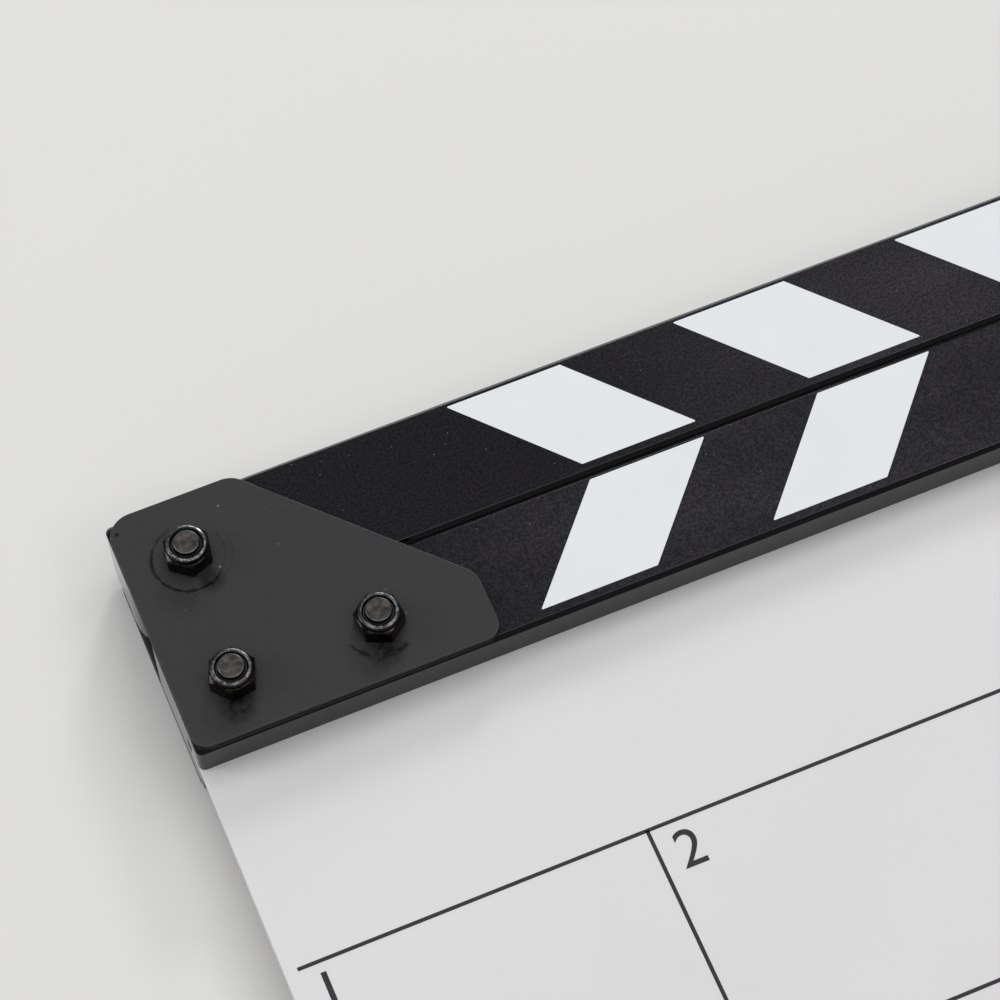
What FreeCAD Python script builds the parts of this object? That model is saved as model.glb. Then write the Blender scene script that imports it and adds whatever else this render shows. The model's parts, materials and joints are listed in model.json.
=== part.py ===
import FreeCAD, Part
import os
import Sketcher

# Clapperboard: a writing board held in the slot of a fixed stick, and a second stick that swings on a bolt
# between two hinge plates. It lies on its back: +X runs along the sticks from the hinge, +Y from the board
# to the swinging stick, +Z out of the board's face. The origin is the middle of its box, on the surface
# that it lies on.

# Driving dimensions, in millimetres, with shares and angles in degrees where the name says so
SIZES = {
    # the whole slate, closed
    "slate_width": 300,
    "slate_height": 250,
    # sticks
    "stick_width": 29.9,
    "stick_thickness": 21,
    "stick_chamfer": 0.75,
    "stick_corner_radius": 1.5,
    "closing_gap": 0.2,
    "side_clearance": 0.15,
    # writing board and its slot
    "board_thickness": 3,
    "board_insert": 6,
    "board_corner_radius": 4,
    "board_edge_break": 0.3,
    "slot_room": 3,
    "slot_clearance": 0.05,
    # hinge plates
    "plate_length": 72,
    "plate_top_length": 30.6,
    "plate_end_height": 16.1,
    "plate_thickness": 2,
    "plate_corner_radius": 6,
    "plate_foot_radius": 4,
    "plate_edge_break": 0.3,
    # places of the two bolts in the lower stick
    "fixing_inset": 13.5,
    "fixing_end_margin": 24.2,
    "fixing_rise": 13.2,
    # bolts
    "bolt_diameter": 6,
    "bolt_tip_bevel": 0.5,
    "bolt_end": 0.65,
    "head_diameter": 12,
    "head_land": 0.3,
    "socket_flats": 4,
    "socket_depth": 1.9,
    "hole_clearance": 0.15,
    "running_clearance": 0.05,
    "seat_clearance": 0.3,
    # lock nuts and their inserts
    "nut_flats": 10,
    "nut_hex_height": 4.4,
    "nut_height": 6,
    "nut_face_share": 0.93,
    "nut_bevel_degrees": 30,
    "thread_clearance": 0.05,
    "insert_wall": 0.85,
    "insert_height": 1.5,
    "collar_wall": 0.55,
    "shoulder_width": 0.45,
    "shoulder_height": 1.1,
    "lip_reach": 0.35,
    "lip_drop": 0.5,
    "lip_thickness": 0.35,
    "pivot_nut_degrees": 21,
    "left_nut_degrees": 9,
    "right_nut_degrees": 37,
    # how far a cut runs past the faces that it opens
    "overrun": 1,
}

# How near an edge lies to the place where it is looked for
TOUCH = 0.0001

# Places in the slate's frame, as expressions in the sheet's names
LEFT_END = "-dims.slate_width / 2"
TOP_SIDE = "dims.slate_height / 2"
UPPER_MATE = f"({TOP_SIDE} - dims.stick_width)"
LOWER_MATE = f"({UPPER_MATE} - dims.closing_gap)"
NEAR_SIDE = f"({LOWER_MATE} - dims.stick_width)"
BOARD_TOP = f"({NEAR_SIDE} + dims.board_insert)"
STICK_BACK = "dims.plate_thickness"
STICK_FRONT = "(dims.plate_thickness + dims.stick_thickness)"
NUT_SEAT = f"({STICK_FRONT} + dims.plate_thickness)"
BOARD_BACK = f"({STICK_BACK} + (dims.stick_thickness - dims.board_thickness) / 2)"
SWING_RADIUS = "dims.stick_width / 2"
BOLT_RADIUS = "dims.bolt_diameter / 2"

# Bolt places measured from the near left corner of the hinge plates
PIVOT = (SWING_RADIUS, "(dims.stick_width + dims.closing_gap + dims.stick_width / 2)")
LEFT_FIXING = ("dims.fixing_inset", "dims.fixing_rise")
RIGHT_FIXING = ("(dims.plate_length - dims.fixing_end_margin)", "dims.fixing_rise")

doc = FreeCAD.newDocument("clapperboard")
sheet = doc.addObject("Spreadsheet::Sheet", "dims")
for row, (alias, size) in enumerate(SIZES.items(), start=1):
    sheet.set(f"A{row}", alias)
    sheet.set(f"B{row}", str(size))
    sheet.setAlias(f"B{row}", alias)
doc.recompute()


def measure(expression):
    """The value that an expression in the sheet's names has now."""
    return float(sheet.evalExpression(expression))


def new_body(label, x, y, z):
    """An empty piece whose own origin lies at this place of the slate."""
    body = doc.addObject("PartDesign::Body", label)
    body.Label = label
    for axis, place in zip("xyz", (x, y, z)):
        body.setExpression(f"Placement.Base.{axis}", place)
    return body


def new_sketch(body, name, role, offset="0"):
    """A sketch on one of the piece's own planes, moved along that plane's normal."""
    sketch = body.newObject("Sketcher::SketchObject", f"{body.Name}_{name}")
    plane = next(feature for feature in body.Origin.OriginFeatures if feature.Role == role)
    sketch.AttachmentSupport = (plane, [""])
    sketch.MapMode = "FlatFace"
    sketch.setExpression("AttachmentOffset.Base.z", offset)
    return sketch


def fix_point(sketch, geometry, point, x, y):
    """Tie a point of the sketch to two expressions."""
    for kind, axis, expression in (("DistanceX", -2, x), ("DistanceY", -1, y)):
        if expression == "0":
            sketch.addConstraint(Sketcher.Constraint("PointOnObject", geometry, point, axis))
            continue
        constraint = Sketcher.Constraint(kind, -1, 1, geometry, point, measure(expression))
        index = sketch.addConstraint(constraint)
        sketch.setExpression(f"Constraints[{index}]", expression)


def draw_outline(sketch, corners):
    """Straight edges round these corners, each corner given by two expressions."""
    places = [FreeCAD.Vector(measure(x), measure(y), 0) for x, y in corners]
    ends = places[1:] + places[:1]
    lines = [sketch.addGeometry(Part.LineSegment(a, b), False) for a, b in zip(places, ends)]
    for line, following in zip(lines, lines[1:] + lines[:1]):
        sketch.addConstraint(Sketcher.Constraint("Coincident", line, 2, following, 1))
    for line, (x, y) in zip(lines, corners):
        fix_point(sketch, line, 1, x, y)


def draw_axis(sketch, x, low, high):
    """An upright construction line to turn a profile about."""
    foot = FreeCAD.Vector(measure(x), measure(low), 0)
    head = FreeCAD.Vector(measure(x), measure(high), 0)
    line = sketch.addGeometry(Part.LineSegment(foot, head), True)
    fix_point(sketch, line, 1, x, low)
    fix_point(sketch, line, 2, x, high)


def new_feature(body, kind, name):
    """A feature of this kind in the piece."""
    return body.newObject(f"PartDesign::{kind}", f"{body.Name}_{name}")


def add_pad(body, sketch, length):
    """Raise the sketch's outline into a solid."""
    pad = new_feature(body, "Pad", "pad")
    pad.Profile = sketch
    pad.setExpression("Length", length)
    doc.recompute()
    return pad


def check_cut(body, volume_before):
    """Stop if a cut took nothing away."""
    if body.Shape.Volume >= volume_before:
        raise RuntimeError(f"a cut in {body.Label} removed nothing")


def cut_pocket(body, sketch, name, depth=None):
    """Cut the sketch's outline along its plane's normal, right through if no depth is given."""
    volume_before = body.Shape.Volume
    pocket = new_feature(body, "Pocket", name)
    pocket.Profile = sketch
    pocket.Reversed = True
    if depth is None:
        pocket.Type = "ThroughAll"
    else:
        pocket.setExpression("Length", depth)
    doc.recompute()
    check_cut(body, volume_before)


def turn(body, kind, sketch, name, axis):
    """Turn a profile about an axis of its sketch, as a solid or as a cut."""
    volume_before = body.Shape.Volume if kind == "Groove" else 0
    feature = new_feature(body, kind, name)
    feature.Profile = sketch
    feature.ReferenceAxis = (sketch, [axis])
    feature.Angle = 360
    doc.recompute()
    if kind == "Groove":
        check_cut(body, volume_before)
    return feature


def dress(body, kind, name, edges, size):
    """Round or bevel the named edges of the piece as it is now."""
    base = body.Tip
    feature = new_feature(body, kind, name)
    feature.Base = (base, edges)
    feature.setExpression("Radius" if kind == "Fillet" else "Size", size)
    doc.recompute()
    return feature


def find_edges(body, wanted):
    """Names of the edges, in the piece's own frame, whose boxes meet a test."""
    edges = body.Tip.Shape.Edges
    return [f"Edge{i}" for i, edge in enumerate(edges, start=1) if wanted(edge.BoundBox)]


def level_edges(body, heights):
    """Edges that lie flat at one of these heights."""
    levels = [measure(height) for height in heights]

    def wanted(box):
        return any(abs(box.ZMin - z) < TOUCH and abs(box.ZMax - z) < TOUCH for z in levels)

    return find_edges(body, wanted)


def upright_edges(body, corners):
    """Upright edges at these corners of the plan."""
    places = [(measure(x), measure(y)) for x, y in corners]

    def wanted(box):
        upright = box.XLength < TOUCH and box.YLength < TOUCH
        return upright and any(abs(box.XMin - x) < TOUCH and abs(box.YMin - y) < TOUCH for x, y in places)

    return find_edges(body, wanted)


def rectangle(width, height):
    """Corners of a rectangle from the origin."""
    return [("0", "0"), (width, "0"), (width, height), ("0", height)]


def hexagon(flats):
    """Corners of a hexagon about the origin, by its width across flats."""
    reach = f"{flats} / sqrt(3)"
    half_reach = f"{flats} / sqrt(12)"
    half_flats = f"{flats} / 2"
    upper = [(half_reach, half_flats), (f"-{half_reach}", half_flats)]
    lower = [(f"-{half_reach}", f"-{half_flats}"), (half_reach, f"-{half_flats}")]
    return [(reach, "0")] + upper + [(f"-{reach}", "0")] + lower


def cut_bolt_seat(body, name, place, level, bore_clearance):
    """Bore a bolt's hole with the cone of its head, in a piece whose back lies at this level."""
    x, y = place
    head_radius = "(dims.head_diameter / 2 + dims.seat_clearance)"
    bore_radius = f"({BOLT_RADIUS} + {bore_clearance})"
    cone_start = f"dims.head_land - ({level})"
    cone_end = f"dims.head_land + {head_radius} - {bore_radius} - ({level})"
    low = f"-({level}) - dims.overrun"
    high = f"{NUT_SEAT} - ({level}) + dims.overrun"
    sketch = new_sketch(body, f"{name}_profile", "XZ_Plane", f"-{y}")
    profile = [
        (x, low),
        (f"{x} + {head_radius}", low),
        (f"{x} + {head_radius}", cone_start),
        (f"{x} + {bore_radius}", cone_end),
        (f"{x} + {bore_radius}", high),
        (x, high),
    ]
    draw_outline(sketch, profile)
    draw_axis(sketch, x, low, high)
    turn(body, "Groove", sketch, f"{name}_hole", "Axis0")


def make_writing_board():
    """White sheet with round lower corners, its top edge inside the lower stick."""
    height = f"{BOARD_TOP} + dims.slate_height / 2"
    body = new_body("writing_board", LEFT_END, "-dims.slate_height / 2", BOARD_BACK)
    sketch = new_sketch(body, "outline", "XY_Plane")
    draw_outline(sketch, rectangle("dims.slate_width", height))
    add_pad(body, sketch, "dims.board_thickness")
    lower_corners = [("0", "0"), ("dims.slate_width", "0")]
    dress(body, "Fillet", "corners", upright_edges(body, lower_corners), "dims.board_corner_radius")
    faces = level_edges(body, ["0", "dims.board_thickness"])
    dress(body, "Chamfer", "edge_break", faces, "dims.board_edge_break")
    return body


def make_lower_stick():
    """Fixed bar with bevelled edges, slotted along its near side for the board."""
    body = new_body("lower_stick", LEFT_END, NEAR_SIDE, STICK_BACK)
    sketch = new_sketch(body, "outline", "XY_Plane")
    corners = rectangle("dims.slate_width", "dims.stick_width")
    draw_outline(sketch, corners)
    add_pad(body, sketch, "dims.stick_thickness")
    dress(body, "Fillet", "corners", upright_edges(body, corners), "dims.stick_corner_radius")
    dress(body, "Chamfer", "bevel", level_edges(body, ["0", "dims.stick_thickness"]), "dims.stick_chamfer")
    slot = new_sketch(body, "slot", "YZ_Plane")
    slot_floor = "dims.board_insert + dims.slot_room"
    slot_back = "(dims.stick_thickness - dims.board_thickness) / 2 - dims.slot_clearance"
    slot_front = "(dims.stick_thickness + dims.board_thickness) / 2 + dims.slot_clearance"
    slot_corners = [
        ("-dims.overrun", slot_back),
        (slot_floor, slot_back),
        (slot_floor, slot_front),
        ("-dims.overrun", slot_front),
    ]
    draw_outline(slot, slot_corners)
    cut_pocket(body, slot, "board_slot")
    cut_bolt_seat(body, "left", LEFT_FIXING, STICK_BACK, "dims.hole_clearance")
    cut_bolt_seat(body, "right", RIGHT_FIXING, STICK_BACK, "dims.hole_clearance")
    return body


def make_upper_stick():
    """Swinging bar, round about its pivot where it turns on the lower stick."""
    thickness = "(dims.stick_thickness - 2 * dims.side_clearance)"
    back = f"({STICK_BACK} + dims.side_clearance)"
    body = new_body("upper_stick", LEFT_END, UPPER_MATE, back)
    sketch = new_sketch(body, "outline", "XY_Plane")
    swing_corner, *corners = rectangle("dims.slate_width", "dims.stick_width")
    draw_outline(sketch, [swing_corner] + corners)
    add_pad(body, sketch, thickness)
    dress(body, "Fillet", "swing_corner", upright_edges(body, [swing_corner]), SWING_RADIUS)
    dress(body, "Fillet", "corners", upright_edges(body, corners), "dims.stick_corner_radius")
    dress(body, "Chamfer", "bevel", level_edges(body, ["0", thickness]), "dims.stick_chamfer")
    cut_bolt_seat(body, "pivot", (SWING_RADIUS, SWING_RADIUS), back, "dims.running_clearance")
    return body


def make_hinge_plate(label, level, outer_height):
    """Five-sided plate with round corners, its edge broken on the side that faces out."""
    height = "(2 * dims.stick_width + dims.closing_gap)"
    body = new_body(label, LEFT_END, NEAR_SIDE, level)
    sketch = new_sketch(body, "outline", "XY_Plane")
    feet = [("0", "0"), ("dims.plate_length", "0")]
    shoulders = [
        ("dims.plate_length", "dims.plate_end_height"),
        ("dims.plate_top_length", height),
        ("0", height),
    ]
    draw_outline(sketch, feet + shoulders)
    add_pad(body, sketch, "dims.plate_thickness")
    dress(body, "Fillet", "shoulders", upright_edges(body, shoulders), "dims.plate_corner_radius")
    dress(body, "Fillet", "feet", upright_edges(body, feet), "dims.plate_foot_radius")
    dress(body, "Chamfer", "edge_break", level_edges(body, [outer_height]), "dims.plate_edge_break")
    for name, place in (("pivot", PIVOT), ("left", LEFT_FIXING), ("right", RIGHT_FIXING)):
        cut_bolt_seat(body, name, place, level, "dims.hole_clearance")
    return body


def place_on_plates(place):
    """A place on the hinge plates in the slate's frame."""
    x, y = place
    return f"{LEFT_END} + {x}", f"{NEAR_SIDE} + {y}"


def make_bolt(label, place):
    """Countersunk bolt through both plates, with a hexagon socket in its head."""
    x, y = place_on_plates(place)
    length = f"({NUT_SEAT} + dims.nut_height + dims.bolt_end)"
    head_radius = "dims.head_diameter / 2"
    body = new_body(label, x, y, "0")
    profile = new_sketch(body, "profile", "XZ_Plane")
    corners = [
        ("0", "0"),
        (head_radius, "0"),
        (head_radius, "dims.head_land"),
        (BOLT_RADIUS, f"dims.head_land + {head_radius} - {BOLT_RADIUS}"),
        (BOLT_RADIUS, f"{length} - dims.bolt_tip_bevel"),
        (f"{BOLT_RADIUS} - dims.bolt_tip_bevel", length),
        ("0", length),
    ]
    draw_outline(profile, corners)
    turn(body, "Revolution", profile, "shank", "V_Axis")
    socket = new_sketch(body, "socket", "XY_Plane")
    draw_outline(socket, hexagon("dims.socket_flats"))
    cut_pocket(body, socket, "hexagon_socket", "dims.socket_depth")
    return body


THREAD_RADIUS = f"({BOLT_RADIUS} + dims.thread_clearance)"
INSERT_RADIUS = f"({THREAD_RADIUS} + dims.insert_wall)"
COLLAR_RADIUS = f"({INSERT_RADIUS} + dims.collar_wall)"
LIP_TOP = "(dims.nut_height - dims.lip_drop)"
INSERT_TOP = f"({LIP_TOP} - dims.lip_thickness)"
INSERT_FOOT = f"({INSERT_TOP} - dims.insert_height)"


def make_nut(label, place, degrees):
    """Lock nut: a hexagon bevelled at its corners, under a collar whose lip is rolled in over its insert."""
    x, y = place_on_plates(place)
    body = new_body(label, x, y, NUT_SEAT)
    body.setExpression("Placement.Rotation.Angle", degrees)
    outline = new_sketch(body, "hexagon", "XY_Plane")
    draw_outline(outline, hexagon("dims.nut_flats"))
    add_pad(body, outline, "dims.nut_hex_height")

    face_radius = "dims.nut_flats / 2 * dims.nut_face_share"
    outer_radius = "(dims.nut_flats / sqrt(3) + dims.overrun)"
    drop = f"({outer_radius} - {face_radius}) * tan(dims.nut_bevel_degrees)"
    bevel = new_sketch(body, "bevel", "XZ_Plane")
    bevel_corners = [
        (face_radius, "dims.nut_hex_height"),
        (outer_radius, f"dims.nut_hex_height - {drop}"),
        (outer_radius, "dims.nut_hex_height"),
    ]
    draw_outline(bevel, bevel_corners)
    turn(body, "Groove", bevel, "corners", "V_Axis")

    lip_radius = f"({THREAD_RADIUS} + dims.lip_reach)"
    collar = new_sketch(body, "collar", "XZ_Plane")
    crown = [
        ("0", "0"),
        (COLLAR_RADIUS, "0"),
        (COLLAR_RADIUS, "dims.nut_height - dims.shoulder_height"),
        (f"{COLLAR_RADIUS} - dims.shoulder_width", "dims.nut_height"),
        (lip_radius, LIP_TOP),
        ("0", LIP_TOP),
    ]
    draw_outline(collar, crown)
    turn(body, "Revolution", collar, "collar_turned", "V_Axis")

    bore = new_sketch(body, "bore", "XZ_Plane")
    profile = [
        ("0", "-dims.overrun"),
        (THREAD_RADIUS, "-dims.overrun"),
        (THREAD_RADIUS, INSERT_FOOT),
        (INSERT_RADIUS, INSERT_FOOT),
        (INSERT_RADIUS, INSERT_TOP),
        (lip_radius, INSERT_TOP),
        (lip_radius, "dims.nut_height + dims.overrun"),
        ("0", "dims.nut_height + dims.overrun"),
    ]
    draw_outline(bore, profile)
    turn(body, "Groove", bore, "bore_turned", "V_Axis")
    return body


def make_insert(label, place):
    """Locking ring held under the nut's rolled lip."""
    x, y = place_on_plates(place)
    body = new_body(label, x, y, NUT_SEAT)
    profile = new_sketch(body, "profile", "XZ_Plane")
    corners = [
        (THREAD_RADIUS, INSERT_FOOT),
        (INSERT_RADIUS, INSERT_FOOT),
        (INSERT_RADIUS, INSERT_TOP),
        (THREAD_RADIUS, INSERT_TOP),
    ]
    draw_outline(profile, corners)
    turn(body, "Revolution", profile, "ring", "V_Axis")
    return body


pieces = [
    make_writing_board(),
    make_lower_stick(),
    make_upper_stick(),
    make_hinge_plate("front_hinge_plate", STICK_FRONT, "dims.plate_thickness"),
    make_hinge_plate("rear_hinge_plate", "0", "0"),
    make_bolt("pivot_bolt", PIVOT),
    make_bolt("left_fixing_bolt", LEFT_FIXING),
    make_bolt("right_fixing_bolt", RIGHT_FIXING),
    make_nut("pivot_nut", PIVOT, "dims.pivot_nut_degrees"),
    make_nut("left_fixing_nut", LEFT_FIXING, "dims.left_nut_degrees"),
    make_nut("right_fixing_nut", RIGHT_FIXING, "dims.right_nut_degrees"),
    make_insert("pivot_nut_insert", PIVOT),
    make_insert("left_nut_insert", LEFT_FIXING),
    make_insert("right_nut_insert", RIGHT_FIXING),
]
doc.recompute()

for item in doc.Objects:
    if "Invalid" in item.State or "Error" in item.State:
        raise RuntimeError(f"{item.Name} failed: {item.State}")
for piece in pieces:
    if piece.Shape.isNull() or not piece.Shape.isValid() or len(piece.Shape.Solids) != 1:
        raise RuntimeError(f"{piece.Label} is not one valid solid")

os.makedirs("parts", exist_ok=True)
for piece in pieces:
    piece.Shape.exportStep(f"parts/{piece.Label}.step")
    print(f"{piece.Label}: {piece.Shape.Volume:.1f} mm3")
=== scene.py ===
import json
import math

import bmesh
import bpy
from mathutils import Matrix, Vector

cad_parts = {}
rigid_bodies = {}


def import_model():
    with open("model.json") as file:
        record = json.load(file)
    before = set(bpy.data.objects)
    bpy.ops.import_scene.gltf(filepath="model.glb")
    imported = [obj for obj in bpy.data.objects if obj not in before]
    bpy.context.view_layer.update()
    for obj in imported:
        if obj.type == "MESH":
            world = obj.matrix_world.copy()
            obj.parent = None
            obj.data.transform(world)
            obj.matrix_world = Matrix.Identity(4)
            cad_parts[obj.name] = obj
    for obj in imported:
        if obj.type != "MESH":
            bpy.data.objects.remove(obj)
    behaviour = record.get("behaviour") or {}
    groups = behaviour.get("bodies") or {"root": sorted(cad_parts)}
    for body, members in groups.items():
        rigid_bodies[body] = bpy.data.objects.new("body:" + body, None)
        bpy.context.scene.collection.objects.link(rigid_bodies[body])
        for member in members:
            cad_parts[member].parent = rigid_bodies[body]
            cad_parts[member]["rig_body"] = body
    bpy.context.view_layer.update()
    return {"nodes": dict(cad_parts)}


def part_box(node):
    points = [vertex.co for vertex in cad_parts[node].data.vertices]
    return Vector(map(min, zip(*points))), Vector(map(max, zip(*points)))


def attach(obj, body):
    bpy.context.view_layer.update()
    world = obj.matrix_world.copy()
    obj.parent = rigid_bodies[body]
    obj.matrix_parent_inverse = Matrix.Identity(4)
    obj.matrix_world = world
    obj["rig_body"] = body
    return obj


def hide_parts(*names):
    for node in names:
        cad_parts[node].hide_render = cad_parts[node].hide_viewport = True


# The dressed clapperboard: a finer piece of the same size stands for every solid of the frame, with its
# edges rounded, its threads cut and its printed face laid on. Lengths are in metres, angles in radians.

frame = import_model()
scene = bpy.context.scene

# Fineness of round shapes and of rounded edges
FULL_TURN = 2 * math.pi
QUARTER_TURN = FULL_TURN / 4
HEXAGON_SIDE = FULL_TURN / 6
ARC_STEPS = 10
TURN_STEPS = 96
EDGE_SEGMENTS = 2
RIM_SEGMENTS = 3
ROUND_PROFILE = 0.5

# Shading: edges sharper than the angle stay sharp, and large faces set the normals at the others
SMOOTH_ANGLE = math.radians(24)
LARGE_FACE_WEIGHT = 100

# Upright part of a face's normal: more than the first is flat, less than the second is a side, and more
# than the third is the bevelled top of a nut's hexagon
FLAT = 0.99
STEEP = 0.2
NUT_TOP = 0.8

# Sticks
STICK_BEVEL = 0.0010
STICK_EDGE = 0.00011
CUT_EDGE = 0.00005
STICK_CORNER = 0.0015
SLOT_DEPTH = 0.009
SLOT_CLEARANCE = 0.00005

# Bolt holes
BOLT_HOLE_CLEARANCE = 0.00015
PIVOT_HOLE_CLEARANCE = 0.00005
HEAD_SEAT_CLEARANCE = 0.0003
CUT_OVERRUN = 0.0003

# Printed stripes, measured on each stick from its hinge end and from its clapping side
STRIPE_COUNT = 4
STRIPE_START = 0.10435
STRIPE_PITCH = 0.0559
STRIPE_WIDTH = 0.02795
STRIPE_SLANT = 0.0226
STRIPE_HEIGHT = 0.0255
LOWER_STRIPE_INSET = 0.0015
UPPER_STRIPE_INSET = 0.00265
STRIPE_CORNER = 0.0002
PRINT_HEIGHT = 0.00004
PRINT_SINK = 0.00003

# Writing board and its ruled fields
BOARD_CORNER = 0.004
BOARD_EDGE = 0.0003
RULE_WIDTH = 0.00088
RULE_MARGIN = 0.003
ROW_HEIGHTS = (0.0506, 0.0600, 0.0265, 0.0265)
FIRST_COLUMN = 0.0838
FIRST_NUMBER = 1
NUMBER_HEIGHT = 0.0088
NUMBER_INDENT = 0.0042
NUMBER_DROP = 0.0026

# Hinge plates
PLATE_TOP_LENGTH = 0.0306
PLATE_END_HEIGHT = 0.0161
PLATE_CORNER = 0.006
PLATE_FOOT_CORNER = 0.004
PLATE_EDGE = 0.0003

# Bolts
BOLT_RADIUS = 0.003
BOLT_TIP_BAND = 0.0005
BOLT_TIP_BEVEL = 0.0005
BOLT_TIP_RADIUS = 0.0029
BOLT_END_RADIUS = 0.00265
BOLT_END_DROP = 0.00012
END_DISH_RADIUS = 0.0019
END_DISH_FOOT = 0.0012
END_DISH_DEPTH = 0.00011
HEAD_LAND = 0.0003
HEAD_EDGE = 0.00012
SOCKET_FLATS = 0.004
SOCKET_DEPTH = 0.0019
THREAD_PITCH = 0.001
THREAD_DEPTH = 0.00055
THREAD_LENGTH = 0.018
THREAD_STEPS = 36
THREAD_FOOT_SHARE = 0.45
THREAD_CREST_SHARE = 0.06

# Lock nuts and their inserts
NUT_FLATS = 0.010
NUT_HEX_HEIGHT = 0.0044
NUT_FACE_SHARE = 0.95
NUT_FOOT_SHARE = 0.98
NUT_BEVEL = math.radians(30)
NUT_FOOT_BEVEL = math.radians(15)
NUT_EDGE = 0.0001
NUT_BORE_RADIUS = 0.00305
NUT_BORE_BEVEL = 0.0004
COLLAR_RADIUS = 0.00475
COLLAR_FOOT_BAND = 0.0002
CROWN_RADIUS = 0.00395
CROWN_SLOPE = math.radians(18)
CROWN_WORN_DEPTH = 0.0002
SHOULDER_RADIUS = 0.0006
LIP_RADIUS = 0.0034
LIP_DROP = 0.0005
LIP_THICKNESS = 0.00035
INSERT_RADIUS = 0.0039
INSERT_HEIGHT = 0.0015
INSERT_EDGE = 0.0001

# Inner radius of each nut's worn rim, and how far each nut is turned
FIXING_RIM_INSIDE = 0.00375
RIM_INSIDES = {"pivot": CROWN_RADIUS, "left": FIXING_RIM_INSIDE, "right": FIXING_RIM_INSIDE}
NUT_TURNS = {
    "pivot": math.radians(21),
    "left": math.radians(9),
    "right": math.radians(37),
}


# Shapes

def rounded(corners, radii):
    """An outline with round corners, from its sharp corners taken counter-clockwise."""
    outline = []
    for index, radius in enumerate(radii):
        corner = Vector(corners[index])
        if not radius:
            outline.append(corner)
            continue
        back = (Vector(corners[index - 1]) - corner).normalized()
        ahead = (Vector(corners[(index + 1) % len(corners)]) - corner).normalized()
        half = back.angle(ahead) / 2
        centre = corner + (back + ahead).normalized() * radius / math.sin(half)
        arm = corner + back * radius / math.tan(half) - centre
        for step in range(ARC_STEPS + 1):
            turn = (math.pi - 2 * half) * step / ARC_STEPS
            outline.append(centre + Matrix.Rotation(turn, 2) @ arm)
    return outline


def skin(rings, closed=False):
    """A solid from rings of points, with faces between neighbours and at the ends, or closed in a loop."""
    shape = bmesh.new()
    loops = [[shape.verts.new(point) for point in points] for points in rings]
    pairs = list(zip(loops, loops[1:]))
    if closed:
        pairs.append((loops[-1], loops[0]))
    else:
        shape.faces.new(reversed(loops[0]))
        shape.faces.new(loops[-1])
    for low, high in pairs:
        for index in range(len(low)):
            shape.faces.new((low[index - 1], low[index], high[index], high[index - 1]))
    return shape


def prism(outline, low, high):
    """A solid with this outline between two heights."""
    return skin([[(x, y, height) for x, y in outline] for height in (low, high)])


def rectangle(low, high):
    """Corners of a rectangle, counter-clockwise."""
    return [(low.x, low.y), (high.x, low.y), (high.x, high.y), (low.x, high.y)]


def bevel_rims(shape, width, segments=1):
    """Cut the upper and lower rims of a prism, or round them with more segments than one."""
    shape.normal_update()
    rims = [edge for edge in shape.edges if abs(edge.verts[0].co.z - edge.verts[1].co.z) < width]
    bmesh.ops.bevel(
        shape, geom=rims, offset=width, segments=segments, profile=ROUND_PROFILE, affect="EDGES"
    )
    return shape


def around(angle, radius, height):
    """A point at an angle about the upright axis."""
    return radius * math.cos(angle), radius * math.sin(angle), height


def ring(point):
    """Points round the upright axis, where point gives the radius and height at an angle."""
    angles = [FULL_TURN * step / TURN_STEPS for step in range(TURN_STEPS)]
    return [around(angle, *point(angle)) for angle in angles]


def turned(profile, closed=False):
    """A solid turned from radius and height pairs, or from functions that give a pair at an angle."""
    points = [step if callable(step) else (lambda angle, pair=step: pair) for step in profile]
    return skin([ring(point) for point in points], closed)


def roll(middle, foot, width, height, start, end):
    """Radius and height pairs along an upright oval of a turned profile, from one angle to another."""
    angles = [start + (end - start) * step / ARC_STEPS for step in range(ARC_STEPS + 1)]
    return [(middle + width * math.cos(angle), foot + height * math.sin(angle)) for angle in angles]


def hexagon_reach(flats, angle):
    """How far a hexagon reaches from its middle at an angle, with a corner at zero."""
    return flats / 2 / math.cos(angle % HEXAGON_SIDE - HEXAGON_SIDE / 2)


# Pieces


def as_mesh(name, shape):
    """The mesh of a shape, which is used up."""
    mesh = bpy.data.meshes.new(name)
    shape.to_mesh(mesh)
    shape.free()
    return mesh


def add_mesh(shape, mesh):
    """Add a mesh to a shape, and let the mesh go."""
    shape.from_mesh(mesh)
    bpy.data.meshes.remove(mesh)


def add_object(name, data):
    """A new object in the scene."""
    made = bpy.data.objects.new(name, data)
    scene.collection.objects.link(made)
    return made


def add_piece(name, shape, looks, body):
    """A mesh piece that rides on a body of the frame."""
    bmesh.ops.recalc_face_normals(shape, faces=shape.faces)
    piece = add_object(name, as_mesh(name, shape))
    for look in looks:
        piece.data.materials.append(look)
    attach(piece, body)
    return piece


def stand_for(node, shape, looks):
    """A piece that replaces one node of the frame and rides on its body."""
    piece = add_piece(f"{node}_finished", shape, looks, frame["nodes"][node]["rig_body"])
    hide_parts(node)
    return piece


def cut_away(piece, shapes):
    """Take solids out of a piece."""
    cutters = []
    for shape in shapes:
        bmesh.ops.recalc_face_normals(shape, faces=shape.faces)
        cutter = add_object("cutter", as_mesh("cutter", shape))
        cutters.append(cutter)
        cut = piece.modifiers.new("cut", "BOOLEAN")
        cut.object = cutter
        cut.solver = "EXACT"
    keep_modified(piece)
    for cutter in cutters:
        bpy.data.objects.remove(cutter)


def modified_mesh(piece):
    """A mesh of the piece as its modifiers or its curve make it."""
    return bpy.data.meshes.new_from_object(piece.evaluated_get(bpy.context.evaluated_depsgraph_get()))


def keep_modified(piece):
    """Make the modified mesh the piece's own."""
    mesh = modified_mesh(piece)
    piece.modifiers.clear()
    piece.data = mesh


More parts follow.
